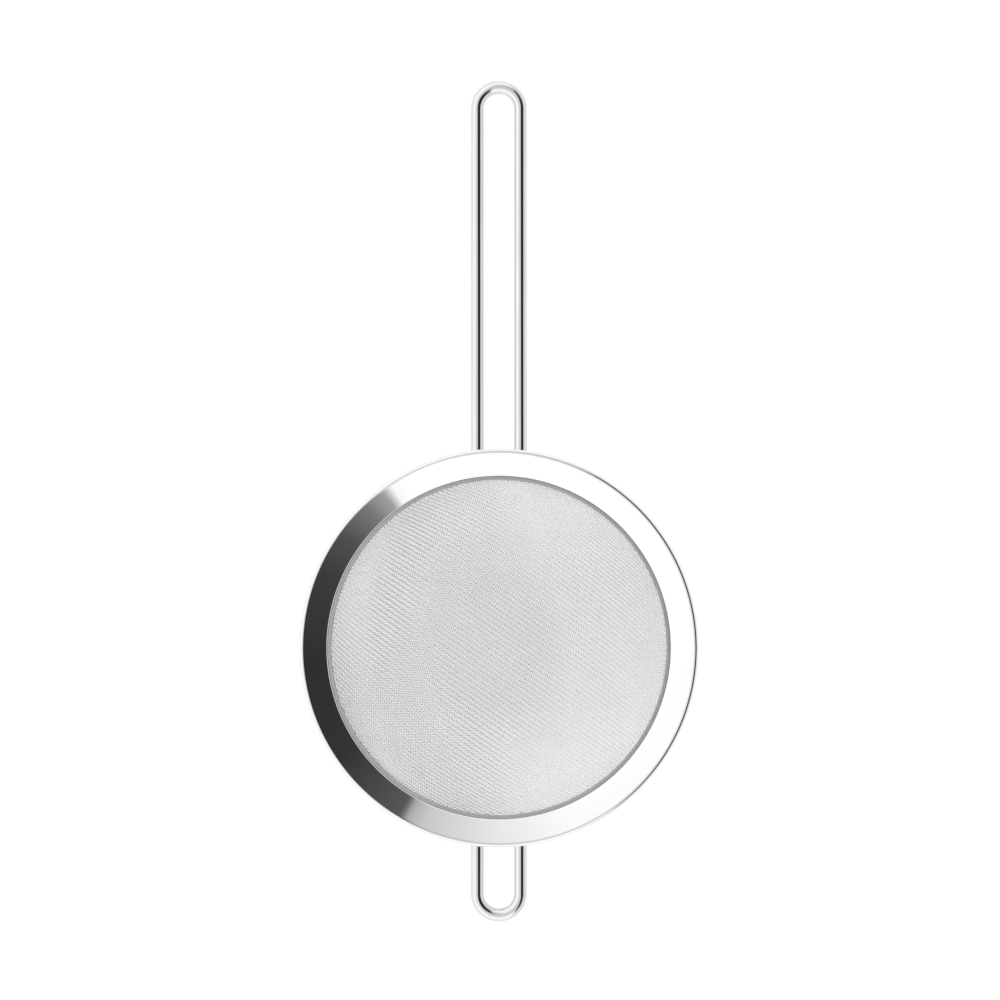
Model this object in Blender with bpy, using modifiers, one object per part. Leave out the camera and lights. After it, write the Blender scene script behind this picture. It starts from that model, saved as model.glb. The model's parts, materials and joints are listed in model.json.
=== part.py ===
"""Hand-held flour sifter: a woven wire bowl clamped in a polished rim, with a bent wire handle and
a bent wire rest loop welded under the rim. A plain grid of openings stands for the bowl's fine mesh.

Metres, +Z up. The bowl's axis is Z and the bowl opens upwards. The handle runs along +Y and the
rest loop along -Y. The origin is the centre of the bowl's flat bottom, on its underside.
"""

import math

import bmesh
import bpy
from mathutils import Matrix, Vector

MM = 0.001

# Rim, pressed from one sheet. A bend's radius is the one on its inside.
RIM_OUTER_RADIUS = 80.0 * MM
RIM_WIDTH = 11.4 * MM  # from the outer edge in to the clamp ring
RIM_SHEET = 0.6 * MM
RIM_SLOPE = math.radians(24.0)  # the cone rises outwards
RIM_EDGE_BEND = 0.9 * MM  # at the turned-down outer edge
RIM_EDGE_DROP = 0.2 * MM  # straight length below that bend
RIM_SEAT_BEND = 0.2 * MM  # above and below the wall around the clamp ring

# Clamp ring, pressed down on the edge of the cloth
RING_WIDTH = 1.2 * MM
RING_THICKNESS = 0.8 * MM

# Bowl of woven cloth
CLOTH_THICKNESS = 0.84 * MM
BOWL_DEPTH = 30.0 * MM  # from the clamped edge to the bottom, at the middle of the cloth
BOWL_FLAT_RADIUS = 18.5 * MM
MESH_PITCH = 11.5 * MM  # from one opening to the next
MESH_BAR = 5.0 * MM  # between two openings, and outside the last ones
MESH_LEAN = math.radians(2.0)  # from the X axis to the rows of openings

# Handle and rest loop, bent from round wire
WIRE_DIAMETER = 5.4 * MM
LEG_SPACING = 17.3 * MM  # between the centres of the two legs
HANDLE_REACH = 148.0 * MM  # beyond the rim
REST_REACH = 30.3 * MM  # beyond the rim
KNEE_BEND = 5.0 * MM  # where a leg turns to follow the cone

# Weld bead around the end of each leg
WELD_RADIUS = 0.7 * MM
WELD_LENGTH = 4.0 * MM  # along each side of the leg

SEAT_GAP = 0.3 * MM  # between pieces that touch

# Facets
TURN_STEPS = 64
BOWL_STEPS = 10
EDGE_STEPS = 6
BEND_STEPS = 3
END_STEPS = 4
LOOP_STEPS = 16
WIRE_STEPS = 6
WELD_STEPS = 2
MERGE_DISTANCE = 0.01 * MM

# Radii of the turned pieces
WIRE_RADIUS = WIRE_DIAMETER / 2
RING_OUTER_RADIUS = RIM_OUTER_RADIUS - RIM_WIDTH
RING_INNER_RADIUS = RING_OUTER_RADIUS - RING_WIDTH
WALL_RADIUS = RING_OUTER_RADIUS + SEAT_GAP + RIM_SHEET / 2
SEAT_END_RADIUS = RING_INNER_RADIUS + RIM_SHEET / 2
EDGE_RADIUS = RIM_OUTER_RADIUS - RIM_SHEET / 2

# Bend radii and heights at the middle of each sheet. The cloth wraps over the round inner end of the
# rim's seat.
EDGE_BEND = RIM_EDGE_BEND + RIM_SHEET / 2
SEAT_BEND = RIM_SEAT_BEND + RIM_SHEET / 2
CLOTH_WRAP = RIM_SHEET / 2 + SEAT_GAP + CLOTH_THICKNESS / 2
BOTTOM_Z = CLOTH_THICKNESS / 2
CLOTH_EDGE_Z = BOTTOM_Z + BOWL_DEPTH
SEAT_Z = CLOTH_EDGE_Z - CLOTH_WRAP
RING_Z = CLOTH_EDGE_Z + CLOTH_THICKNESS / 2 + SEAT_GAP + RING_THICKNESS / 2
CONE_FOOT_Z = RING_Z + RING_THICKNESS / 2
EDGE_CORNER_Z = CONE_FOOT_Z + (EDGE_RADIUS - WALL_RADIUS) * math.tan(RIM_SLOPE)
EDGE_TURN = math.pi / 2 + RIM_SLOPE
EDGE_END_Z = EDGE_CORNER_Z - EDGE_BEND * math.tan(EDGE_TURN / 2) - RIM_EDGE_DROP

# Openings, inside the bowl's mouth
OPENING_WIDTH = MESH_PITCH - MESH_BAR
OPENING_HEIGHT = BOWL_DEPTH + 2 * CLOTH_THICKNESS
OPENING_Z = BOTTOM_Z + BOWL_DEPTH / 2
MESH_RADIUS = SEAT_END_RADIUS - CLOTH_WRAP - MESH_BAR

# Legs: level under the rim's edge, then parallel to the cone, up to the weld in front of the wall
LEG_X = LEG_SPACING / 2
LEG_Z = EDGE_END_Z - RIM_SHEET / 2 - SEAT_GAP - WIRE_RADIUS
LEG_BELOW_CONE = (RIM_SHEET / 2 + SEAT_GAP + WIRE_RADIUS) / math.cos(RIM_SLOPE)
WELD_STANDOFF = SEAT_GAP + WELD_RADIUS
WELD_RISE = WIRE_RADIUS - WELD_RADIUS
WELD_SIDE = math.sqrt((WIRE_RADIUS + WELD_STANDOFF) ** 2 - WELD_RISE**2)
KNEE_RADIUS = WALL_RADIUS + (LEG_Z + LEG_BELOW_CONE - CONE_FOOT_Z) / math.tan(RIM_SLOPE)
TIP_RADIUS = (
    WALL_RADIUS
    + RIM_SHEET / 2
    + WELD_STANDOFF * (1 + math.cos(RIM_SLOPE))
    + WELD_RISE * math.sin(RIM_SLOPE)
)


def bend(before, corner, after, radius, steps):
    """Points of an arc of that radius that rounds a corner, from one straight run to the next."""
    back = (before - corner).normalized()
    ahead = (after - corner).normalized()
    half = back.angle(ahead) / 2
    centre = corner + (back + ahead).normalized() * radius / math.sin(half)
    first = corner + back * radius / math.tan(half) - centre
    last = corner + ahead * radius / math.tan(half) - centre
    turn = math.pi - 2 * half
    points = []
    for step in range(steps + 1):
        share = turn * step / steps
        points.append(centre + (first * math.sin(turn - share) + last * math.sin(share)) / math.sin(turn))
    return points


def left_of(start, end):
    """The unit normal to the left of a run in the XZ plane."""
    run = (end - start).normalized()
    return Vector((-run.z, 0, run.x))


def round_end(tip, normal, radius):
    """Points around the end of a strip, from its side at the normal to its other side."""
    ahead = Vector((normal.z, 0, -normal.x))
    angles = [math.pi * step / END_STEPS for step in range(1, END_STEPS)]
    return [tip + (normal * math.cos(a) + ahead * math.sin(a)) * radius for a in angles]


def strip_sides(path, thickness):
    """The left and right sides of a strip of that thickness along a path."""
    left, right = [], []
    for index, point in enumerate(path):
        normal_in = left_of(path[max(index - 1, 0)], path[max(index, 1)])
        normal_out = left_of(path[min(index, len(path) - 2)], path[min(index + 1, len(path) - 1)])
        offset = (normal_in + normal_out) * thickness / 2 / (1 + normal_in.dot(normal_out))
        left.append(point + offset)
        right.append(point - offset)
    return left, right


def ring_section(path, thickness):
    """The closed outline of a strip with two round ends, down its outer side."""
    left, right = strip_sides(path, thickness)
    outer_end = round_end(path[-1], left_of(path[-2], path[-1]), thickness / 2)
    inner_end = round_end(path[0], -left_of(path[0], path[1]), thickness / 2)
    return left + outer_end + right[::-1] + inner_end


def bowl_section(path, thickness):
    """The outline of a strip that starts on the axis, from its upper to its lower side."""
    left, right = strip_sides(path, thickness)
    return left + round_end(path[-1], left_of(path[-2], path[-1]), thickness / 2) + right[::-1]


def steel(name, shade, roughness):
    """A plain grey metal."""
    material = bpy.data.materials.new(name)
    material.use_nodes = True
    shader = material.node_tree.nodes["Principled BSDF"]
    shader.inputs["Base Color"].default_value = (shade, shade, shade, 1)
    shader.inputs["Metallic"].default_value = 1
    shader.inputs["Roughness"].default_value = roughness
    return material


def add_part(name, data, material):
    """A named object in the sifter's collection, on its origin."""
    data.materials.append(material)
    part = bpy.data.objects.new(name, data)
    part.parent = origin
    collection.objects.link(part)
    return part


def turned_part(name, outline, closed, material):
    """A section in the XZ plane, turned about Z."""
    edges = [(index, index + 1) for index in range(len(outline) - 1)]
    if closed:
        edges.append((len(outline) - 1, 0))
    section = bpy.data.meshes.new(name)
    section.from_pydata(outline, edges, [])
    part = add_part(name, section, material)
    turn = part.modifiers.new("turn", "SCREW")
    turn.axis = "Z"
    turn.angle = 2 * math.pi
    turn.steps = turn.render_steps = TURN_STEPS
    turn.use_merge_vertices = True
    turn.merge_threshold = MERGE_DISTANCE
    return part


def round_bar(name, points, radius, resolution, material):
    """A round bar along a path, with flat ends."""
    curve = bpy.data.curves.new(name, "CURVE")
    curve.dimensions = "3D"
    curve.bevel_depth = radius
    curve.bevel_resolution = resolution
    curve.use_fill_caps = True
    spline = curve.splines.new("POLY")
    spline.points.add(len(points) - 1)
    for spline_point, point in zip(spline.points, points):
        spline_point.co = (*point, 1)
        spline_point.radius = 1
    spline.use_smooth = True
    add_part(name, curve, material)


def rim():
    """One sheet: seat under the cloth, wall around the clamp ring, cone and turned-down edge."""
    seat_end = Vector((SEAT_END_RADIUS, 0, SEAT_Z))
    seat_corner = Vector((WALL_RADIUS, 0, SEAT_Z))
    cone_foot = Vector((WALL_RADIUS, 0, CONE_FOOT_Z))
    edge_corner = Vector((EDGE_RADIUS, 0, EDGE_CORNER_Z))
    edge_end = Vector((EDGE_RADIUS, 0, EDGE_END_Z))
    path = [seat_end]
    path += bend(seat_end, seat_corner, cone_foot, SEAT_BEND, BEND_STEPS)
    path += bend(seat_corner, cone_foot, edge_corner, SEAT_BEND, BEND_STEPS)
    path += bend(cone_foot, edge_corner, edge_end, EDGE_BEND, EDGE_STEPS)
    path += [edge_end]
    turned_part("rim", ring_section(path, RIM_SHEET), True, steel("polished_steel", 0.80, 0.08))


def mesh_clamp_ring():
    """A flat ring with round edges that holds the cloth down on the rim's seat."""
    inner = Vector((RING_INNER_RADIUS + RING_THICKNESS / 2, 0, RING_Z))
    outer = Vector((RING_OUTER_RADIUS - RING_THICKNESS / 2, 0, RING_Z))
    section = ring_section([inner, outer], RING_THICKNESS)
    turned_part("mesh_clamp_ring", section, True, steel("satin_steel", 0.45, 0.35))


def mesh_openings():
    """Cutters for the openings: upright square bars on a grid, with the bowl's axis between four of them."""
    half = OPENING_WIDTH / 2
    size = Matrix.Diagonal((OPENING_WIDTH, OPENING_WIDTH, OPENING_HEIGHT, 1))
    count = math.ceil(MESH_RADIUS / MESH_PITCH)
    middles = [(step + 0.5) * MESH_PITCH for step in range(-count, count)]
    grid = bmesh.new()
    for x in middles:
        for y in middles:
            if math.hypot(abs(x) + half, abs(y) + half) < MESH_RADIUS:
                bmesh.ops.create_cube(grid, size=1, matrix=Matrix.Translation((x, y, OPENING_Z)) @ size)
    data = bpy.data.meshes.new("mesh_openings")
    grid.to_mesh(data)
    grid.free()
    cutter = bpy.data.objects.new("mesh_openings", data)
    cutter.parent = origin
    cutter.rotation_euler.z = MESH_LEAN
    cutter.hide_render = True
    cutter.display_type = "WIRE"
    cutters.objects.link(cutter)
    return cutter


def mesh_bowl():
    """Cloth with a flat bottom, a round side and openings, turned out flat where the ring clamps it."""
    width = SEAT_END_RADIUS - BOWL_FLAT_RADIUS
    steepest = 2 * math.atan(BOWL_DEPTH / width)
    side_radius = width / math.sin(steepest) - CLOTH_WRAP
    path = [Vector((0, 0, BOTTOM_Z))]
    for step in range(BOWL_STEPS + 1):
        angle = steepest * step / BOWL_STEPS
        side = Vector((math.sin(angle), 0, 1 - math.cos(angle))) * side_radius
        path.append(Vector((BOWL_FLAT_RADIUS, 0, BOTTOM_Z)) + side)
    for step in range(1, BEND_STEPS + 1):
        angle = steepest * (1 - step / BEND_STEPS)
        wrap = Vector((-math.sin(angle), 0, math.cos(angle))) * CLOTH_WRAP
        path.append(Vector((SEAT_END_RADIUS, 0, SEAT_Z)) + wrap)
    path.append(Vector((RING_OUTER_RADIUS - CLOTH_THICKNESS / 2, 0, CLOTH_EDGE_Z)))
    section = bowl_section(path, CLOTH_THICKNESS)
    bowl = turned_part("mesh_bowl", section, False, steel("woven_steel", 0.62, 0.30))
    cut = bowl.modifiers.new("openings", "BOOLEAN")
    cut.operation = "DIFFERENCE"
    cut.object = mesh_openings()
    bowl.modifiers.new("triangles", "TRIANGULATE").ngon_method = "BEAUTY"


def leg_point(side, outward, plan_radius, z):
    """A point on the middle of a leg, at a distance from the bowl's axis."""
    return Vector((side * LEG_X, outward * math.sqrt(plan_radius**2 - LEG_X**2), z))


def leg_tip(side, outward):
    """The end of a leg, under the cone."""
    below_cone = (TIP_RADIUS - WALL_RADIUS) * math.tan(RIM_SLOPE) - LEG_BELOW_CONE
    return leg_point(side, outward, TIP_RADIUS, CONE_FOOT_Z + below_cone)


def leg_knee(side, outward):
    """The corner between a leg's level run and its end under the cone."""
    return leg_point(side, outward, KNEE_RADIUS, LEG_Z)


def wire_loop(name, outward, reach, material):
    """One wire: under the rim on one side, out and round, and back under the rim."""
    turn_y = outward * (RIM_OUTER_RADIUS + reach - WIRE_RADIUS - LEG_X)
    legs = {}
    for side in (1, -1):
        tip, knee = leg_tip(side, outward), leg_knee(side, outward)
        turn_start = Vector((side * LEG_X, turn_y, LEG_Z))
        legs[side] = [tip] + bend(tip, knee, turn_start, KNEE_BEND, BEND_STEPS)
    angles = [math.pi * step / LOOP_STEPS for step in range(LOOP_STEPS + 1)]
    turn = [Vector((LEG_X * math.cos(a), turn_y + outward * LEG_X * math.sin(a), LEG_Z)) for a in angles]
    round_bar(name, legs[1] + turn + legs[-1][::-1], WIRE_RADIUS, WIRE_STEPS, material)


def weld(name, side, outward, material):
    """A bead in the groove between a leg and the cone, around the leg's end."""
    tip = leg_tip(side, outward)
    inward = (tip - leg_knee(side, outward)).normalized()
    plan = Vector((tip.x, tip.y, 0)).normalized()
    up = (Vector((0, 0, 1)) - plan * math.tan(RIM_SLOPE)).normalized()
    across = up.cross(inward)
    middle = tip + up * WELD_RISE
    start = middle - inward * (WELD_LENGTH - WELD_RADIUS)
    front = middle + inward * WELD_STANDOFF
    starts = [start + across * WELD_SIDE, start - across * WELD_SIDE]
    corners = [front + across * WELD_SIDE, front - across * WELD_SIDE]
    path = [starts[0]]
    path += bend(starts[0], corners[0], corners[1], WELD_STANDOFF, BEND_STEPS)
    path += bend(corners[0], corners[1], starts[1], WELD_STANDOFF, BEND_STEPS)
    path += [starts[1]]
    round_bar(name, path, WELD_RADIUS, WELD_STEPS, material)


for old in list(bpy.data.objects):
    bpy.data.objects.remove(old, do_unlink=True)

collection = bpy.data.collections.new("flour_sifter")
bpy.context.scene.collection.children.link(collection)
cutters = bpy.data.collections.new("cutters")
bpy.context.scene.collection.children.link(cutters)
origin = bpy.data.objects.new("sifter_origin", None)
collection.objects.link(origin)

rim()
mesh_clamp_ring()
mesh_bowl()

wire_steel = steel("bright_wire_steel", 0.80, 0.06)
wire_loop("handle", 1, HANDLE_REACH, wire_steel)
wire_loop("rest_loop", -1, REST_REACH, wire_steel)

weld_steel = steel("weld_steel", 0.50, 0.40)
for end, outward in (("handle", 1), ("rest", -1)):
    for hand, side in (("left", -1), ("right", 1)):
        weld(f"{end}_weld_{hand}", side, outward, weld_steel)
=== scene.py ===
"""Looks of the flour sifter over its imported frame: a turned and polished rim, a satin clamp ring, a bowl of
2/2 twill wire cloth, a bent wire handle, a bent wire rest loop and the weld beads that hold them.

Metres, +Z up. The bowl's axis is Z, the handle runs along +Y and the rest loop along -Y.
"""

import json
import math

import bpy
import numpy as np
from mathutils import Matrix, Vector

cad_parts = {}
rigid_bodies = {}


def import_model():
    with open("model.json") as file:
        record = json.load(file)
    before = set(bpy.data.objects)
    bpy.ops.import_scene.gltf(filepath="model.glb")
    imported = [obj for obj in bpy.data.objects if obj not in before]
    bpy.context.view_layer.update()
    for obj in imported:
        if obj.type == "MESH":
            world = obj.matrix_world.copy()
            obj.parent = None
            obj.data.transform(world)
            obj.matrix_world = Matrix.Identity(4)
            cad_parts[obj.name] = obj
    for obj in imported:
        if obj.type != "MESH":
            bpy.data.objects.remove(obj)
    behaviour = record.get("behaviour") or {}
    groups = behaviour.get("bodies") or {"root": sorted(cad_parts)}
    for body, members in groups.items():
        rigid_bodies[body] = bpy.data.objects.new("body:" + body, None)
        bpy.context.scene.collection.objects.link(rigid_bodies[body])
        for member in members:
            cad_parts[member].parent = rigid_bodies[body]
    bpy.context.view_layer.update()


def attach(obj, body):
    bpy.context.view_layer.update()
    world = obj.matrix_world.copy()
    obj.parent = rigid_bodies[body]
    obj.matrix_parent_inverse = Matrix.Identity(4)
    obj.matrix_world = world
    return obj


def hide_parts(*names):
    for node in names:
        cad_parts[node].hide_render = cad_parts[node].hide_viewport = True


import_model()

MM = 0.001

# Rim, pressed from one sheet. A bend's radius is the one on its inside.
RIM_OUTER_RADIUS = 80.0 * MM
RIM_WIDTH = 11.4 * MM
RIM_SHEET = 0.6 * MM
RIM_SLOPE = math.radians(24.0)
RIM_EDGE_BEND = 0.9 * MM
RIM_EDGE_DROP = 0.2 * MM
RIM_SEAT_BEND = 0.2 * MM
RIM_BURR = 0.28 * MM  # rounding of the sheet's cut edges

# Clamp ring, which reaches the rim's wall
RING_WIDTH = 1.2 * MM
RING_THICKNESS = 0.8 * MM
RING_EDGE = 0.22 * MM

# Bowl of wire cloth. Warp wires run towards the handle, weft wires across.
BOWL_DEPTH = 30.0 * MM
BOWL_FLAT_RADIUS = 18.5 * MM
CLOTH_WIRE = 0.42 * MM
CLOTH_WIRE_SIDES = 6
WARP_PITCH = 0.796 * MM
WEFT_PITCH = 0.7175 * MM
WARP_LEAN = math.radians(104.7)
WEFT_LEAN = math.radians(2.0)

# Handle and rest loop, bent from round wire
WIRE_DIAMETER = 5.4 * MM
LEG_SPACING = 17.3 * MM
HANDLE_REACH = 148.0 * MM
REST_REACH = 30.3 * MM
KNEE_BEND = 5.0 * MM
WIRE_END_ROUND = 0.4 * MM

# Weld bead around the end of each leg
WELD_RADIUS = 0.7 * MM
WELD_LENGTH = 4.0 * MM
WELD_SWELL = 0.25 * MM  # by which the bead wets the wire and the cone
WELD_RIPPLE = 0.85 * MM  # from one ripple to the next
WELD_UNEVENNESS = 0.06  # share by which the ripples differ in size
WELD_UNEVEN_STEP = 2.4  # radians by which that difference moves on from one ripple to the next

SEAT_GAP = 0.3 * MM

# Facets
TURN_STEPS = 256
WIRE_SIDES = 40
LEG_STEPS = 12
LOOP_STEPS = 48
KNEE_STEPS = 8
SEAT_BEND_STEPS = 6
EDGE_BEND_STEPS = 12
SHEET_EDGE_STEPS = 4
WIRE_END_STEPS = 3
BOWL_SIDE_STEPS = 200
CLOTH_WRAP_STEPS = 40
RIPPLE_SIDES = 16
RIPPLE_RINGS = 10
WELD_VOXEL = 0.13 * MM
MERGE_DISTANCE = 0.001 * MM
SAME_PLACE = 0.01 * MM
ROUNDED_ANGLE = math.radians(60)
SMOOTH_ANGLE = math.radians(50)

# Crossings after which 2/2 twill repeats, and the repeats that a leaning sheet needs beyond its blank
TWILL_REPEAT = 4
SPARE_REPEATS = 8

# Camera, straight down
VIEW_X = 0.42 * MM
VIEW_Y = 59.35 * MM
VIEW_DISTANCE = 1000 * MM
VIEW_WIDTH = 400.5 * MM
VIEW_PLANE_Z = 36.0 * MM

# Floor, just under the bowl, and how bright it is to the eye and in the steel
FLOOR_SIZE = 8.0
FLOOR_Z = -0.1 * MM
FLOOR_LEVEL = 0.84
FLOOR_LEVEL_IN_STEEL = 0.72

# Painted shade of the bowl on the floor, drawn out to the darker side of the dome
SHADE_MIDDLE = (20.0 * MM, 5.0 * MM, 0)
SHADE_CORE = 30.0 * MM
SHADE_REACH = 65.0 * MM
SHADE_LEVEL = 0.60

# White dome with a dark flag on the right. Angles are degrees from straight up, or around from +X.
OVERHEAD_ANGLES = (5, 55)
OVERHEAD_LEVELS = (0.70, 1.15)
HORIZON_ANGLES = (62, 86)
HORIZON_LEVELS = (1, 0.84)
FLAG_TOP = (6, 10)
FLAG_FOOT = (51, 56)
FLAG_LEVELS = {
    -180: 1, -64: 1, -58.5: 0.9, -57: 0.36, -50: 0.18, -40: 0.077, -28: 0.045, 0: 0.029, 30: 0.034,
    45: 0.066, 57: 0.1, 59.5: 0.43, 65: 0.59, 90: 0.83, 115: 1, 180: 1,
}
BELOW_FLAG_SIDES = (55, 75)
BELOW_FLAG_LEVEL = 0.75

# Radii of the turned pieces
WIRE_RADIUS = WIRE_DIAMETER / 2
RING_OUTER_RADIUS = RIM_OUTER_RADIUS - RIM_WIDTH
RING_INNER_RADIUS = RING_OUTER_RADIUS - RING_WIDTH
WALL_RADIUS = RING_OUTER_RADIUS + SEAT_GAP + RIM_SHEET / 2
SEAT_END_RADIUS = RING_INNER_RADIUS + RIM_SHEET / 2
EDGE_RADIUS = RIM_OUTER_RADIUS - RIM_SHEET / 2

# Bend radii and heights at the middle of each sheet
CLOTH_THICKNESS = 2 * CLOTH_WIRE
EDGE_BEND = RIM_EDGE_BEND + RIM_SHEET / 2
SEAT_BEND = RIM_SEAT_BEND + RIM_SHEET / 2
CLOTH_WRAP = RIM_SHEET / 2 + SEAT_GAP + CLOTH_THICKNESS / 2
BOTTOM_Z = CLOTH_THICKNESS / 2
CLOTH_EDGE_Z = BOTTOM_Z + BOWL_DEPTH
SEAT_Z = CLOTH_EDGE_Z - CLOTH_WRAP
RING_Z = CLOTH_EDGE_Z + CLOTH_THICKNESS / 2 + SEAT_GAP + RING_THICKNESS / 2
CONE_FOOT_Z = RING_Z + RING_THICKNESS / 2
EDGE_CORNER_Z = CONE_FOOT_Z + (EDGE_RADIUS - WALL_RADIUS) * math.tan(RIM_SLOPE)
EDGE_TURN = math.pi / 2 + RIM_SLOPE
EDGE_END_Z = EDGE_CORNER_Z - EDGE_BEND * math.tan(EDGE_TURN / 2) - RIM_EDGE_DROP

# Legs: level under the rim's edge, then parallel to the cone, up to the weld in front of the wall
LEG_X = LEG_SPACING / 2
LEG_Z = EDGE_END_Z - RIM_SHEET / 2 - SEAT_GAP - WIRE_RADIUS
LEG_BELOW_CONE = (RIM_SHEET / 2 + SEAT_GAP + WIRE_RADIUS) / math.cos(RIM_SLOPE)
WELD_STANDOFF = SEAT_GAP + WELD_RADIUS
WELD_RISE = WIRE_RADIUS - WELD_RADIUS
WELD_SIDE = math.sqrt((WIRE_RADIUS + WELD_STANDOFF) ** 2 - WELD_RISE**2)
KNEE_RADIUS = WALL_RADIUS + (LEG_Z + LEG_BELOW_CONE - CONE_FOOT_Z) / math.tan(RIM_SLOPE)
TIP_RADIUS = (
    WALL_RADIUS
    + RIM_SHEET / 2
    + WELD_STANDOFF * (1 + math.cos(RIM_SLOPE))
    + WELD_RISE * math.sin(RIM_SLOPE)
)


def new_piece(name):
    """Names the object that an operator has just added."""
    piece = bpy.context.object
    piece.name = name
    piece.data.name = name
    return piece


def edit(piece):
    """Opens a piece in edit mode with nothing else selected."""
    bpy.ops.object.select_all(action="DESELECT")
    piece.select_set(True)
    bpy.context.view_layer.objects.active = piece
    bpy.ops.object.mode_set(mode="EDIT")


def close():
    """Leaves edit mode."""
    bpy.ops.object.mode_set(mode="OBJECT")


def select_points(piece, chosen):
    """In edit mode, selects the vertices that the numpy mask marks."""
    close()
    mesh = piece.data
    mesh.polygons.foreach_set("select", np.zeros(len(mesh.polygons), bool))
    mesh.edges.foreach_set("select", np.zeros(len(mesh.edges), bool))
    mesh.vertices.foreach_set("select", chosen)
    bpy.ops.object.mode_set(mode="EDIT")
    bpy.ops.mesh.select_mode(type="VERT")


def places(piece):
    """The piece's vertices as rows of x, y, z."""
    rows = np.empty(len(piece.data.vertices) * 3)
    piece.data.vertices.foreach_get("co", rows)
    return rows.reshape(-1, 3)


def note_points(piece, name, kind, values):
    """Keeps a value of each vertex for the piece's material."""
    field = {"FLOAT": "value", "FLOAT_VECTOR": "vector"}[kind]
    note = piece.data.attributes.new(name, kind, "POINT")
    note.data.foreach_set(field, np.ascontiguousarray(values, dtype=np.float32).ravel())


def apply_modifier(piece, kind, **settings):
    """Adds a modifier with its settings and applies it."""
    bpy.ops.object.select_all(action="DESELECT")
    piece.select_set(True)
    bpy.context.view_layer.objects.active = piece
    bpy.ops.object.modifier_add(type=kind)
    modifier = piece.modifiers[-1]
    for setting, value in settings.items():
        setattr(modifier, setting, value)
    bpy.ops.object.modifier_apply(modifier=modifier.name)


def round_edges(piece, width, segments):
    """Rounds the sharp edges of a closed piece."""
    apply_modifier(
        piece, "BEVEL", width=width, segments=segments, limit_method="ANGLE", angle_limit=ROUNDED_ANGLE
    )


def draw_section(name, corners):
    """Draws an open line through the corners, one extrusion at a time."""
    bpy.ops.object.select_all(action="DESELECT")
    bpy.ops.mesh.primitive_plane_add(size=MM, location=corners[0])
    piece = new_piece(name)
    bpy.ops.object.transform_apply(location=True)
    edit(piece)
    bpy.ops.mesh.select_all(action="SELECT")
    bpy.ops.mesh.merge(type="CENTER")
    for start, end in zip(corners, corners[1:]):
        bpy.ops.mesh.extrude_region_move(TRANSFORM_OT_translate={"value": end - start})
    close()
    return piece


def round_corner(piece, corner, radius, turn, segments):
    """Rounds one corner of a drawn section that turns by that angle."""
    away = np.linalg.norm(places(piece) - np.array(corner), axis=1)
    edit(piece)
    select_points(piece, away < SAME_PLACE)
    bpy.ops.mesh.bevel(
        offset=radius * math.tan(turn / 2), offset_type="OFFSET", segments=segments, affect="VERTICES"
    )
    close()


def turn_section(piece):
    """Spins a section about Z and closes the seam."""
    edit(piece)
    bpy.ops.mesh.select_all(action="SELECT")
    bpy.ops.mesh.spin(steps=TURN_STEPS, angle=2 * math.pi, center=(0, 0, 0), axis=(0, 0, 1))
    bpy.ops.mesh.select_all(action="SELECT")
    bpy.ops.mesh.remove_doubles(threshold=MERGE_DISTANCE)
    bpy.ops.mesh.normals_make_consistent(inside=False)
    close()


def place(piece, node, material):
    """Gives a finished piece its material and sets it on the frame in a node's place."""
    piece.data.materials.clear()
    piece.data.materials.append(material)
    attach(piece, "root")
    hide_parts(node)


def polished_rim():
    """Seat under the cloth, wall, cone and turned-down edge, with the sheet's thickness and round ends."""
    seat_end = Vector((SEAT_END_RADIUS, 0, SEAT_Z))
    seat_corner = Vector((WALL_RADIUS, 0, SEAT_Z))
    cone_foot = Vector((WALL_RADIUS, 0, CONE_FOOT_Z))
    edge_corner = Vector((EDGE_RADIUS, 0, EDGE_CORNER_Z))
    edge_end = Vector((EDGE_RADIUS, 0, EDGE_END_Z))
    rim = draw_section("polished_rim", [seat_end, seat_corner, cone_foot, edge_corner, edge_end])
    round_corner(rim, seat_corner, SEAT_BEND, math.pi / 2, SEAT_BEND_STEPS)
    round_corner(rim, cone_foot, SEAT_BEND, math.pi / 2 - RIM_SLOPE, SEAT_BEND_STEPS)
    round_corner(rim, edge_corner, EDGE_BEND, EDGE_TURN, EDGE_BEND_STEPS)
    turn_section(rim)
    apply_modifier(rim, "SOLIDIFY", thickness=RIM_SHEET, offset=0, use_even_offset=True)
    round_edges(rim, RIM_BURR, SHEET_EDGE_STEPS)
    bpy.ops.object.shade_smooth()
    apply_modifier(rim, "WEIGHTED_NORMAL", weight=100)
    return rim


def clamp_ring():
    """A flat ring with rounded edges, pressed in against the rim's wall."""
    outer = WALL_RADIUS - RIM_SHEET / 2
    bpy.ops.object.select_all(action="DESELECT")
    bpy.ops.mesh.primitive_plane_add(
        size=1, location=((RING_INNER_RADIUS + outer) / 2, 0, RING_Z), rotation=(math.pi / 2, 0, 0)
    )
    ring = new_piece("clamp_ring")
    ring.scale = (outer - RING_INNER_RADIUS, RING_THICKNESS, 1)
    bpy.ops.object.transform_apply(location=True, rotation=True, scale=True)
    edit(ring)
    bpy.ops.mesh.select_all(action="SELECT")
    bpy.ops.mesh.delete(type="ONLY_FACE")
    close()
    turn_section(ring)
    round_edges(ring, RING_EDGE, SHEET_EDGE_STEPS)
    bpy.ops.object.shade_smooth()
    apply_modifier(ring, "WEIGHTED_NORMAL", weight=100)
    return ring


def leg_tip(side, outward):
    """The end of a leg, under the cone."""
    y = outward * math.sqrt(TIP_RADIUS**2 - LEG_X**2)
    z = CONE_FOOT_Z + (TIP_RADIUS - WALL_RADIUS) * math.tan(RIM_SLOPE) - LEG_BELOW_CONE
    return Vector((side * LEG_X, y, z))


def leg_knee(side, outward):
    """The corner between a leg's level run and its end under the cone."""
    return Vector((side * LEG_X, outward * math.sqrt(KNEE_RADIUS**2 - LEG_X**2), LEG_Z))


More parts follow.
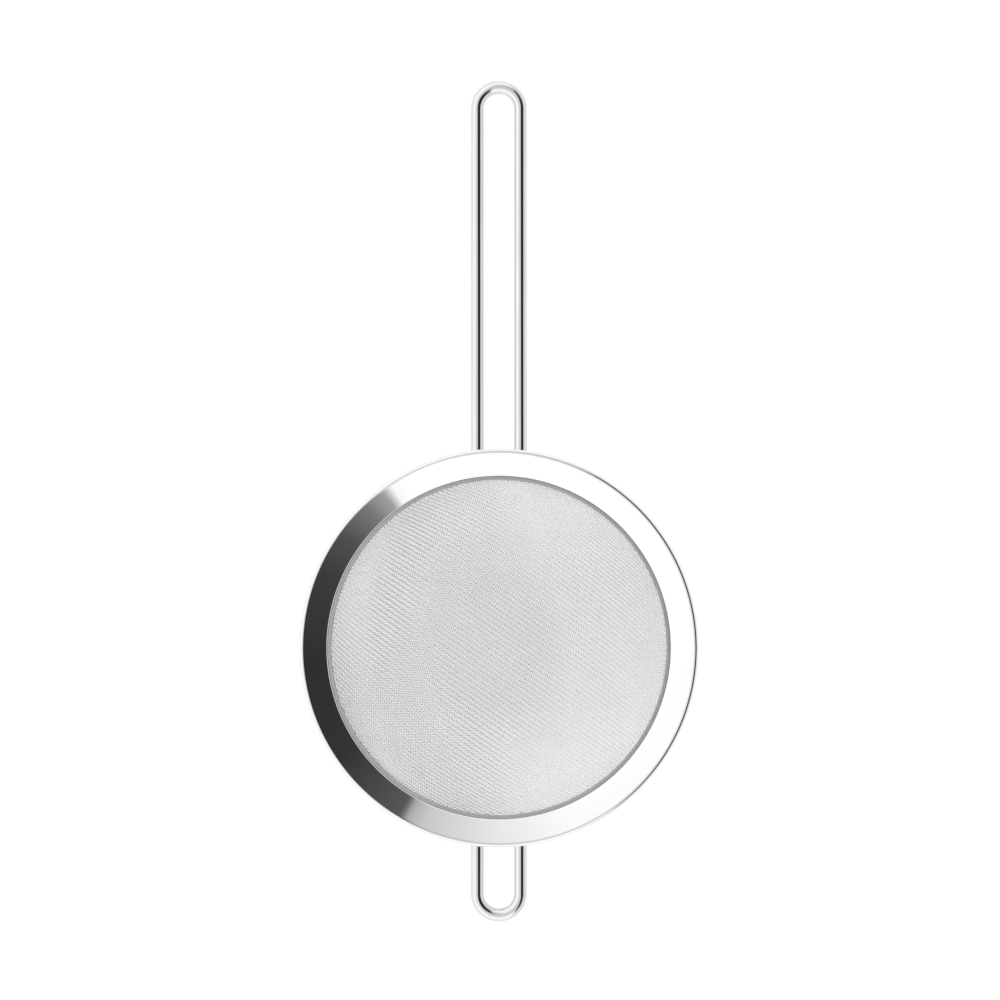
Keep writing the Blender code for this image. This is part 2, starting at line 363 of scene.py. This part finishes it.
def unroll_wire(wire, outward, turn_y):
    """Notes each vertex's place on the wire before it was bent: two measures across it and one along it."""
    x, y, z = places(wire).T
    beyond = outward * (y - turn_y)
    side = np.where(x > 0, 1, -1)
    around = math.pi / 2 - np.arctan2(beyond, x)
    on_leg = beyond < 0
    across = np.where(on_leg, np.abs(x), np.hypot(x, beyond)) - LEG_X
    along = np.where(on_leg, side * (LEG_X * math.pi / 2 - beyond), LEG_X * around)
    note_points(wire, "grain", "FLOAT_VECTOR", np.stack((across, z - LEG_Z, along), 1))


def bent_wire(name, outward, reach):
    """Round wire: from its tip under the rim, out to the knee, along a leg, round, and back."""
    tip, knee = leg_tip(1, outward), leg_knee(1, outward)
    outwards = (knee - tip).normalized()
    droop = math.atan2(outwards.z, abs(outwards.y))
    turn_y = outward * (RIM_OUTER_RADIUS + reach - WIRE_RADIUS - LEG_X)
    tangent = KNEE_BEND * math.tan(droop / 2)
    end_run = outwards * ((knee - tip).length - tangent)
    knee_centre = knee - outwards * tangent + Vector((0, outward * outwards.z, -abs(outwards.y))) * KNEE_BEND
    leg = Vector((0, turn_y - knee.y - outward * tangent, 0)) / LEG_STEPS
    bpy.ops.object.select_all(action="DESELECT")
    bpy.ops.mesh.primitive_circle_add(vertices=WIRE_SIDES, radius=WIRE_RADIUS, fill_type="NGON")
    wire = new_piece(name)
    wire.matrix_world = Matrix.Translation(tip) @ outwards.to_track_quat("Z", "X").to_matrix().to_4x4()
    bpy.ops.object.transform_apply(location=True, rotation=True, scale=True)
    edit(wire)
    bpy.ops.mesh.select_all(action="SELECT")
    bpy.ops.mesh.extrude_region_move(TRANSFORM_OT_translate={"value": end_run})
    bpy.ops.mesh.spin(steps=KNEE_STEPS, angle=outward * droop, center=knee_centre, axis=(1, 0, 0))
    for step in range(LEG_STEPS):
        bpy.ops.mesh.extrude_region_move(TRANSFORM_OT_translate={"value": leg})
    bpy.ops.mesh.spin(steps=LOOP_STEPS, angle=-outward * math.pi, center=(0, turn_y, LEG_Z), axis=(0, 0, 1))
    for step in range(LEG_STEPS):
        bpy.ops.mesh.extrude_region_move(TRANSFORM_OT_translate={"value": -leg})
    knee_centre.x = -knee_centre.x
    bpy.ops.mesh.spin(steps=KNEE_STEPS, angle=-outward * droop, center=knee_centre, axis=(1, 0, 0))
    bpy.ops.mesh.extrude_region_move(TRANSFORM_OT_translate={"value": -end_run})
    bpy.ops.mesh.select_all(action="SELECT")
    bpy.ops.mesh.normals_make_consistent(inside=False)
    close()
    round_edges(wire, WIRE_END_ROUND, WIRE_END_STEPS)
    bpy.ops.object.shade_smooth_by_angle(angle=SMOOTH_ANGLE)
    unroll_wire(wire, outward, turn_y)
    return wire


def weld_path(side, outward):
    """Middles of a bead's ripples, from one side of a leg's end round to the other."""
    tip = leg_tip(side, outward)
    inward = (tip - leg_knee(side, outward)).normalized()
    plan = Vector((tip.x, tip.y, 0)).normalized()
    up = (Vector((0, 0, 1)) - plan * math.tan(RIM_SLOPE)).normalized()
    across = up.cross(inward)
    middle = tip + up * WELD_RISE
    run = WELD_LENGTH - WELD_RADIUS
    quarter = WELD_STANDOFF * math.pi / 2
    front = WELD_SIDE - WELD_STANDOFF
    half = run + quarter + front
    count = 2 * round(half / WELD_RIPPLE) + 1
    path = []
    for ripple in range(count):
        along = half * (2 * ripple / (count - 1) - 1)
        hand = 1 if along > 0 else -1
        rest = abs(along)
        if rest < front:
            reach, wide = WELD_STANDOFF, rest
        elif rest < front + quarter:
            turned = (rest - front) / WELD_STANDOFF
            reach = WELD_STANDOFF * math.cos(turned)
            wide = front + WELD_STANDOFF * math.sin(turned)
        else:
            reach, wide = front + quarter - rest, WELD_SIDE
        path.append(middle + inward * reach + across * hand * wide)
    return path


def weld_bead(name, side, outward):
    """A bead of overlapping ripples around the end of a leg, grown into one skin."""
    bpy.ops.object.select_all(action="DESELECT")
    for ripple, spot in enumerate(weld_path(side, outward)):
        unevenness = WELD_UNEVENNESS * math.sin(WELD_UNEVEN_STEP * ripple + side + outward)
        radius = (WELD_RADIUS + WELD_SWELL) * (1 + unevenness)
        bpy.ops.mesh.primitive_uv_sphere_add(
            segments=RIPPLE_SIDES, ring_count=RIPPLE_RINGS, radius=radius, location=spot
        )
        if ripple == 0:
            bead = new_piece(name)
            bpy.ops.object.transform_apply(location=True)
            edit(bead)
    close()
    apply_modifier(bead, "REMESH", mode="VOXEL", voxel_size=WELD_VOXEL)
    apply_modifier(bead, "SMOOTH", factor=0.5, iterations=2)
    bpy.ops.object.shade_smooth()
    return bead


def bowl_profile():
    """Along the cloth from the axis out: its length, distance from the axis, height and slope."""
    width = SEAT_END_RADIUS - BOWL_FLAT_RADIUS
    steepest = 2 * math.atan(BOWL_DEPTH / width)
    side = width / math.sin(steepest) - CLOTH_WRAP
    climb = np.linspace(0, steepest, BOWL_SIDE_STEPS)
    turn = np.linspace(steepest, 0, CLOTH_WRAP_STEPS)
    radius = np.concatenate((
        [0],
        BOWL_FLAT_RADIUS + side * np.sin(climb),
        SEAT_END_RADIUS - CLOTH_WRAP * np.sin(turn),
        [RING_OUTER_RADIUS],
    ))
    height = np.concatenate((
        [BOTTOM_Z],
        BOTTOM_Z + side * (1 - np.cos(climb)),
        SEAT_Z + CLOTH_WRAP * np.cos(turn),
        [CLOTH_EDGE_Z],
    ))
    slope = np.concatenate(([0], climb, turn, [0]))
    length = np.concatenate(([0], np.cumsum(np.hypot(np.diff(radius), np.diff(height)))))
    return length, radius, height, slope


def blank_radius():
    """The radius of the flat round of cloth that the bowl is pressed from."""
    return bowl_profile()[0][-1]


def press_into_bowl(piece):
    """Presses flat cloth into the bowl: distances from its middle are kept along the bowl's side."""
    length, radius, height, slope = bowl_profile()
    x, y, z = places(piece).T
    away = np.hypot(x, y)
    along_x = np.where(away > 0, x / np.maximum(away, 1e-9), 1)
    along_y = np.where(away > 0, y / np.maximum(away, 1e-9), 0)
    tilt = np.interp(away, length, slope)
    out = np.interp(away, length, radius) - z * np.sin(tilt)
    lifted = np.interp(away, length, height) + z * np.cos(tilt)
    piece.data.vertices.foreach_set("co", np.stack((out * along_x, out * along_y, lifted), 1).ravel())
    piece.data.update()


def woven_wires(name, run, stride, over):
    """One set of parallel wires of flat twill.

    run is a wire's step from one crossing to the next, and stride is the step from one wire to the next.
    over says at which crossings of the repeat the first wire passes over.
    """
    width = 2 * blank_radius()
    step = Vector((*run, 0))
    shift = Vector((*stride, 0))
    bpy.ops.object.select_all(action="DESELECT")
    bpy.ops.mesh.primitive_circle_add(vertices=CLOTH_WIRE_SIDES, radius=CLOTH_WIRE / 2)
    sheet = new_piece(name)
    sheet.matrix_world = step.to_track_quat("Z", "Y").to_matrix().to_4x4()
    bpy.ops.object.transform_apply(location=True, rotation=True, scale=True)
    lift = [CLOTH_WIRE / 2 if up else -CLOTH_WIRE / 2 for up in (*over, over[0])]
    edit(sheet)
    bpy.ops.mesh.select_all(action="SELECT")
    bpy.ops.transform.translate(value=(0, 0, lift[0]))
    for before, after in zip(lift, lift[1:]):
        bpy.ops.mesh.extrude_region_move(
            TRANSFORM_OT_translate={"value": step + Vector((0, 0, after - before))}
        )
    close()
    repeats = math.ceil(width / (TWILL_REPEAT * step.length)) + SPARE_REPEATS
    groups = math.ceil(width / (TWILL_REPEAT * abs(shift.cross(step.normalized()).z))) + 1
    apply_modifier(
        sheet, "ARRAY", count=repeats, use_relative_offset=False, use_constant_offset=True,
        constant_offset_displace=step * TWILL_REPEAT, use_merge_vertices=True, merge_threshold=SAME_PLACE,
    )
    apply_modifier(
        sheet, "ARRAY", count=TWILL_REPEAT, use_relative_offset=False, use_constant_offset=True,
        constant_offset_displace=shift + step,
    )
    apply_modifier(
        sheet, "ARRAY", count=groups, use_relative_offset=False, use_constant_offset=True,
        constant_offset_displace=shift * TWILL_REPEAT,
    )
    edit(sheet)
    bpy.ops.mesh.select_all(action="SELECT")
    middle = step * TWILL_REPEAT * (repeats // 2) + shift * TWILL_REPEAT * (groups // 2)
    bpy.ops.transform.translate(value=-middle)
    close()
    return sheet


def cut_round(sheet, across, pitch):
    """Cuts a sheet of wires round, closes the wires' ends and gives each wire its own shade."""
    flat = places(sheet)[:, :2]
    wire = np.round(flat @ np.array(across) / pitch).astype(int)
    along = flat @ np.array((-across[1], across[0]))
    edit(sheet)
    select_points(sheet, np.hypot(along, wire * pitch) > blank_radius())
    bpy.ops.mesh.delete(type="VERT")
    bpy.ops.mesh.select_all(action="SELECT")
    bpy.ops.mesh.fill_holes(sides=CLOTH_WIRE_SIDES)
    bpy.ops.mesh.select_all(action="SELECT")
    bpy.ops.mesh.normals_make_consistent(inside=False)
    close()
    wire = np.round(places(sheet)[:, :2] @ np.array(across) / pitch).astype(int)
    shades = np.random.RandomState(7).random(wire.max() - wire.min() + 1)
    note_points(sheet, "strand", "FLOAT", shades[wire - wire.min()])


def split_sheet(sheet, across, pitch):
    """Splits a sheet of wires into three pieces, between two wires a third of the way from its middle."""
    cut = (round(blank_radius() / 3 / pitch) + 0.5) * pitch
    pieces = [sheet]
    for way in (1, -1):
        edit(sheet)
        select_points(sheet, places(sheet)[:, :2] @ np.array(across) * way > cut)
        before = set(bpy.data.objects)
        bpy.ops.mesh.separate(type="SELECTED")
        close()
        pieces += set(bpy.data.objects) - before
    return pieces


def map_from_above(piece):
    """A map of the piece as it is seen from above, where both faces of the cloth share their shade."""
    corners = np.empty(len(piece.data.loops), int)
    piece.data.loops.foreach_get("vertex_index", corners)
    spots = places(piece)[corners, :2] / (2 * RIM_OUTER_RADIUS) + 0.5
    piece.data.uv_layers.new(name="OFBake").data.foreach_set("uv", spots.ravel())


def wire_cloth(material):
    """The bowl: warp and weft of 2/2 twill, woven flat, cut round and pressed."""
    warp = Vector((math.cos(WARP_LEAN), math.sin(WARP_LEAN)))
    weft = Vector((math.cos(WEFT_LEAN), math.sin(WEFT_LEAN)))
    crossing = abs(math.sin(WARP_LEAN - WEFT_LEAN))
    down_warp = -warp * WEFT_PITCH / crossing
    along_weft = weft * WARP_PITCH / crossing
    sheets = (
        ("warp", down_warp, along_weft, (True, False, False, True), (warp.y, -warp.x), WARP_PITCH),
        ("weft", along_weft, down_warp, (False, False, True, True), (-weft.y, weft.x), WEFT_PITCH),
    )
    for kind, run, stride, over, across, pitch in sheets:
        sheet = woven_wires(f"cloth_{kind}", run, stride, over)
        cut_round(sheet, across, pitch)
        for number, piece in enumerate(split_sheet(sheet, across, pitch), 1):
            piece.name = piece.data.name = f"cloth_{kind}_{number}"
            press_into_bowl(piece)
            map_from_above(piece)
            piece.data.polygons.foreach_set("use_smooth", np.ones(len(piece.data.polygons), bool))
            place(piece, "mesh_bowl", material)


class Wiring:
    """Adds nodes to a node tree."""

    def __init__(self, tree):
        self.tree = tree

    def feed(self, socket, value):
        """Links a socket to the one that is given, or sets its value."""
        if isinstance(value, bpy.types.NodeSocket):
            self.tree.links.new(value, socket)
        else:
            socket.default_value = value

    def add(self, kind, inputs=None, **settings):
        """Adds a node with its settings, and with its inputs by name or number."""
        node = self.tree.nodes.new("ShaderNode" + kind)
        for setting, value in settings.items():
            setattr(node, setting, value)
        for name, value in (inputs or {}).items():
            self.feed(node.inputs[name], value)
        return node

    def calculate(self, operation, *values):
        """The result of a Math node."""
        return self.add("Math", dict(enumerate(values)), operation=operation).outputs[0]

    def scale(self, vector, by):
        """A vector with each of its three measures scaled."""
        return self.add("VectorMath", {0: vector, 1: by}, operation="MULTIPLY").outputs[0]

    def ramp(self, value, low, high, first=0.0, last=1.0, kind="SMOOTHSTEP"):
        """Goes from first to last as the value goes from low to high."""
        inputs = {"Value": value, "From Min": low, "From Max": high, "To Min": first, "To Max": last}
        return self.add("MapRange", inputs, interpolation_type=kind).outputs["Result"]

    def blend(self, share, first, second):
        """A mix of two colours."""
        inputs = {"Factor": share, "A": first, "B": second}
        node = self.add("Mix", None, data_type="RGBA")
        for socket in node.inputs:
            if socket.enabled and socket.name in inputs:
                self.feed(socket, inputs[socket.name])
        return next(socket for socket in node.outputs if socket.enabled)


def grey(level):
    """A grey as a colour with its alpha."""
    return (level, level, level, 1)


def effect(name, inputs, outputs):
    """A shader node group with named inputs and outputs."""
    group = bpy.data.node_groups.new(name, "ShaderNodeTree")
    for socket, kind in inputs.items():
        group.interface.new_socket(socket, in_out="INPUT", socket_type="NodeSocket" + kind)
    for socket, kind in outputs.items():
        group.interface.new_socket(socket, in_out="OUTPUT", socket_type="NodeSocket" + kind)
    wiring = Wiring(group)
    given = group.nodes.new("NodeGroupInput").outputs
    result = group.nodes.new("NodeGroupOutput").inputs
    return group, wiring, given, result


def smudges_effect():
    """Soft cloudy patches, as handling leaves on bare steel."""
    group, wiring, given, result = effect(
        "handling_smudges", {"Place": "Vector", "Patches per Metre": "Float"}, {"Smudge": "Float"}
    )
    noise = wiring.add(
        "TexNoise",
        {"Vector": given["Place"], "Scale": given["Patches per Metre"], "Detail": 4.0, "Roughness": 0.55},
    )
    group.links.new(wiring.ramp(noise.outputs["Fac"], 0.38, 0.66), result["Smudge"])
    return group


def turned_lines_effect():
    """Fine rings around the bowl's axis, as a polishing wheel leaves on a piece that turns."""
    group, wiring, given, result = effect(
        "turned_lines", {"Place": "Vector", "Lines per Metre": "Float"}, {"Line": "Float"}
    )
    flat = wiring.scale(given["Place"], (1, 1, 0))
    radius = wiring.add("VectorMath", {0: flat}, operation="LENGTH").outputs["Value"]
    heading = wiring.add("VectorMath", {0: flat}, operation="NORMALIZE").outputs[0]
    split = wiring.add("SeparateXYZ", {0: given["Place"]})
    across = wiring.calculate("ADD", radius, split.outputs["Z"])
    noise = wiring.add(
        "TexNoise",
        {
            "Vector": heading,
            "W": wiring.calculate("MULTIPLY", across, given["Lines per Metre"]),
            "Scale": 1.0,
            "Detail": 3.0,
            "Roughness": 0.7,
        },
        noise_dimensions="4D",
    )
    group.links.new(wiring.ramp(noise.outputs["Fac"], 0.3, 0.7), result["Line"])
    return group


def steel(name):
    """A bare steel material: its wiring and its shader."""
    material = bpy.data.materials.new(name)
    material.use_nodes = True
    shader = material.node_tree.nodes["Principled BSDF"]
    shader.inputs["Metallic"].default_value = 1
    return material, Wiring(material.node_tree), shader


def use(wiring, group, **inputs):
    """Places an effect in a material."""
    node = wiring.add("Group", None, node_tree=group)
    for name, value in inputs.items():
        wiring.feed(node.inputs[name.replace("_", " ")], value)
    return node.outputs[0]


def finish_steel(wiring, shader, shade, dark, light, wear, dull, height, depth):
    """Feeds the shader: shade between two greys, wear between two roughnesses, and lines of some depth."""
    wiring.feed(shader.inputs["Base Color"], wiring.blend(shade, grey(dark), grey(light)))
    wiring.feed(shader.inputs["Roughness"], wiring.ramp(wear, 0, 1, *dull))
    bump = wiring.add("Bump", {"Height": height, "Strength": 1.0, "Distance": depth})
    wiring.feed(shader.inputs["Normal"], bump.outputs["Normal"])


def polished_steel(smudges, lines):
    """The rim: bright, with fine turned lines."""
    material, wiring, shader = steel("polished_steel")
    where = wiring.add("TexCoord").outputs["Object"]
    line = use(wiring, lines, Place=where, Lines_per_Metre=2500.0)
    smudge = use(wiring, smudges, Place=where, Patches_per_Metre=60.0)
    finish_steel(wiring, shader, line, 0.90, 0.94, smudge, (0.012, 0.03), line, 0.0003 * MM)
    return material


def satin_steel(smudges, lines):
    """The clamp ring: dull, with coarser turned lines."""
    material, wiring, shader = steel("satin_steel")
    where = wiring.add("TexCoord").outputs["Object"]
    line = use(wiring, lines, Place=where, Lines_per_Metre=4000.0)
    smudge = use(wiring, smudges, Place=where, Patches_per_Metre=120.0)
    finish_steel(wiring, shader, line, 0.52, 0.64, smudge, (0.40, 0.52), line, 0.004 * MM)
    return material


def bright_wire_steel(smudges):
    """The handle and the rest loop: bright, with lines that the wire was drawn with."""
    material, wiring, shader = steel("bright_wire_steel")
    grain = wiring.add("Attribute", attribute_name="grain").outputs["Vector"]
    drawn = wiring.scale(grain, (1, 1, 0.02))
    line = wiring.add("TexNoise", {"Vector": drawn, "Scale": 2600.0, "Detail": 2.0}).outputs["Fac"]
    line = wiring.ramp(line, 0.3, 0.7)
    smudge = use(wiring, smudges, Place=grain, Patches_per_Metre=90.0)
    finish_steel(wiring, shader, line, 0.80, 0.86, smudge, (0.03, 0.055), line, 0.0003 * MM)
    return material


def woven_steel(smudges):
    """The cloth: each wire has its own shade, and handling dulls it in patches."""
    material, wiring, shader = steel("woven_steel")
    where = wiring.add("TexCoord").outputs["Object"]
    strand = wiring.add("Attribute", attribute_name="strand").outputs["Fac"]
    smudge = use(wiring, smudges, Place=where, Patches_per_Metre=45.0)
    shade = wiring.calculate("MULTIPLY_ADD", strand, 0.65, wiring.calculate("MULTIPLY", smudge, 0.35))
    wiring.feed(shader.inputs["Base Color"], wiring.blend(shade, grey(0.90), grey(0.95)))
    shader.inputs["Roughness"].default_value = 0.05
    return material


def weld_steel(smudges):
    """The beads: duller, with a trace of heat colour."""
    material, wiring, shader = steel("weld_steel")
    where = wiring.add("TexCoord").outputs["Object"]
    heat = use(wiring, smudges, Place=where, Patches_per_Metre=420.0)
    scale = use(wiring, smudges, Place=where, Patches_per_Metre=2400.0)
    tint = wiring.blend(heat, (0.50, 0.47, 0.43, 1), (0.36, 0.37, 0.41, 1))
    wiring.feed(shader.inputs["Base Color"], tint)
    wiring.feed(shader.inputs["Roughness"], wiring.ramp(scale, 0, 1, 0.30, 0.52))
    bump = wiring.add("Bump", {"Height": scale, "Strength": 1.0, "Distance": 0.02 * MM})
    wiring.feed(shader.inputs["Normal"], bump.outputs["Normal"])
    return material


def camera():
    """Looks straight down on the bowl with the handle up."""
    bpy.ops.object.camera_add(location=(VIEW_X, VIEW_Y, VIEW_PLANE_Z + VIEW_DISTANCE), rotation=(0, 0, 0))
    lens = bpy.context.object.data
    lens.sensor_width = 36
    lens.lens = lens.sensor_width * VIEW_DISTANCE / VIEW_WIDTH
    bpy.context.scene.camera = bpy.context.object


def floor():
    """A pale floor that is white to the eye and in the steel, with a soft painted shade under the bowl."""
    bpy.ops.object.select_all(action="DESELECT")
    bpy.ops.mesh.primitive_plane_add(size=FLOOR_SIZE, location=(0, 0, FLOOR_Z))
    plane = new_piece("floor")
    material = bpy.data.materials.new("pale_floor")
    material.use_nodes = True
    material.node_tree.nodes.clear()
    wiring = Wiring(material.node_tree)
    where = wiring.add("TexCoord").outputs["Object"]
    away = wiring.add("VectorMath", {0: where, 1: SHADE_MIDDLE}, operation="DISTANCE").outputs["Value"]
    # Painted shade: the floor's own brightness is lowered near SHADE_MIDDLE under the bowl, as a shadow would
    # be
    under_bowl = wiring.ramp(away, SHADE_CORE, SHADE_REACH, SHADE_LEVEL, FLOOR_LEVEL)
    path = wiring.add("LightPath").outputs
    straight = wiring.calculate("MAXIMUM", path["Is Camera Ray"], path["Is Transmission Ray"])
    seen = wiring.calculate("MAXIMUM", straight, path["Is Glossy Ray"])
    level = wiring.ramp(straight, 0, 1, FLOOR_LEVEL_IN_STEEL, under_bowl)
    white = wiring.add("Emission", {"Color": grey(1.0), "Strength": level})
    shaded = wiring.add("BsdfDiffuse", {"Color": grey(0.3)})
    lit = wiring.add("AddShader", {0: white.outputs[0], 1: shaded.outputs[0]})
    pale = wiring.add("BsdfDiffuse", {"Color": grey(0.9)})
    mix = wiring.add("MixShader", {0: seen, 1: pale.outputs[0], 2: lit.outputs[0]})
    wiring.add("OutputMaterial", {"Surface": mix.outputs[0]})
    plane.data.materials.append(material)


def studio():
    """A white dome with a dark flag on the right, light grey below it, a grey patch overhead and a greyer
    horizon."""
    world = bpy.data.worlds.new("studio")
    bpy.context.scene.world = world
    world.use_nodes = True
    world.node_tree.nodes.clear()
    wiring = Wiring(world.node_tree)
    where = wiring.add("TexCoord").outputs["Generated"]
    across, ahead, up = wiring.add("SeparateXYZ", {0: where}).outputs
    polar = wiring.calculate("DEGREES", wiring.calculate("ARCCOSINE", up))
    azimuth = wiring.calculate("DEGREES", wiring.calculate("ARCTAN2", ahead, across))
    around = wiring.add("ValToRGB", {0: wiring.ramp(azimuth, -180, 180, kind="LINEAR")})
    stops = around.color_ramp.elements
    for angle, level in FLAG_LEVELS.items():
        if angle in (-180, 180):
            stop = stops[0 if angle < 0 else -1]
        else:
            stop = stops.new((angle + 180) / 360)
        stop.color = grey(level)
    below_top = wiring.ramp(polar, *FLAG_TOP)
    below_foot = wiring.ramp(polar, *FLAG_FOOT)
    in_flag = wiring.calculate("MULTIPLY", below_top, wiring.calculate("SUBTRACT", 1, below_foot))
    darkness = wiring.calculate("SUBTRACT", 1, around.outputs[0])
    past_flag = wiring.calculate("SUBTRACT", 1, wiring.calculate("MULTIPLY", in_flag, darkness))
    beside = wiring.ramp(wiring.calculate("ABSOLUTE", azimuth), *BELOW_FLAG_SIDES, 1, 0)
    below_flag = wiring.ramp(wiring.calculate("MULTIPLY", below_foot, beside), 0, 1, 1, BELOW_FLAG_LEVEL)
    dome = wiring.ramp(polar, *OVERHEAD_ANGLES, *OVERHEAD_LEVELS)
    horizon = wiring.ramp(polar, *HORIZON_ANGLES, *HORIZON_LEVELS)
    for share in (horizon, past_flag, below_flag):
        dome = wiring.calculate("MULTIPLY", dome, share)
    seen = wiring.add("LightPath").outputs["Is Camera Ray"]
    strength = wiring.calculate("MAXIMUM", dome, seen)
    light = wiring.add("Background", {"Color": grey(1.0), "Strength": strength})
    wiring.add("OutputWorld", {"Surface": light.outputs[0]})


camera()
floor()
studio()
bpy.context.scene.view_settings.view_transform = "Standard"

smudges = smudges_effect()
lines = turned_lines_effect()
bright = bright_wire_steel(smudges)
weld = weld_steel(smudges)

place(polished_rim(), "rim", polished_steel(smudges, lines))
place(clamp_ring(), "mesh_clamp_ring", satin_steel(smudges, lines))
place(bent_wire("handle_wire", 1, HANDLE_REACH), "handle", bright)
place(bent_wire("rest_wire", -1, REST_REACH), "rest_loop", bright)
for end, outward in (("handle", 1), ("rest", -1)):
    for hand, side in (("left", -1), ("right", 1)):
        bead = weld_bead(f"{end}_weld_bead_{hand}", side, outward)
        place(bead, f"{end}_weld_{hand}", weld)
wire_cloth(woven_steel(smudges))
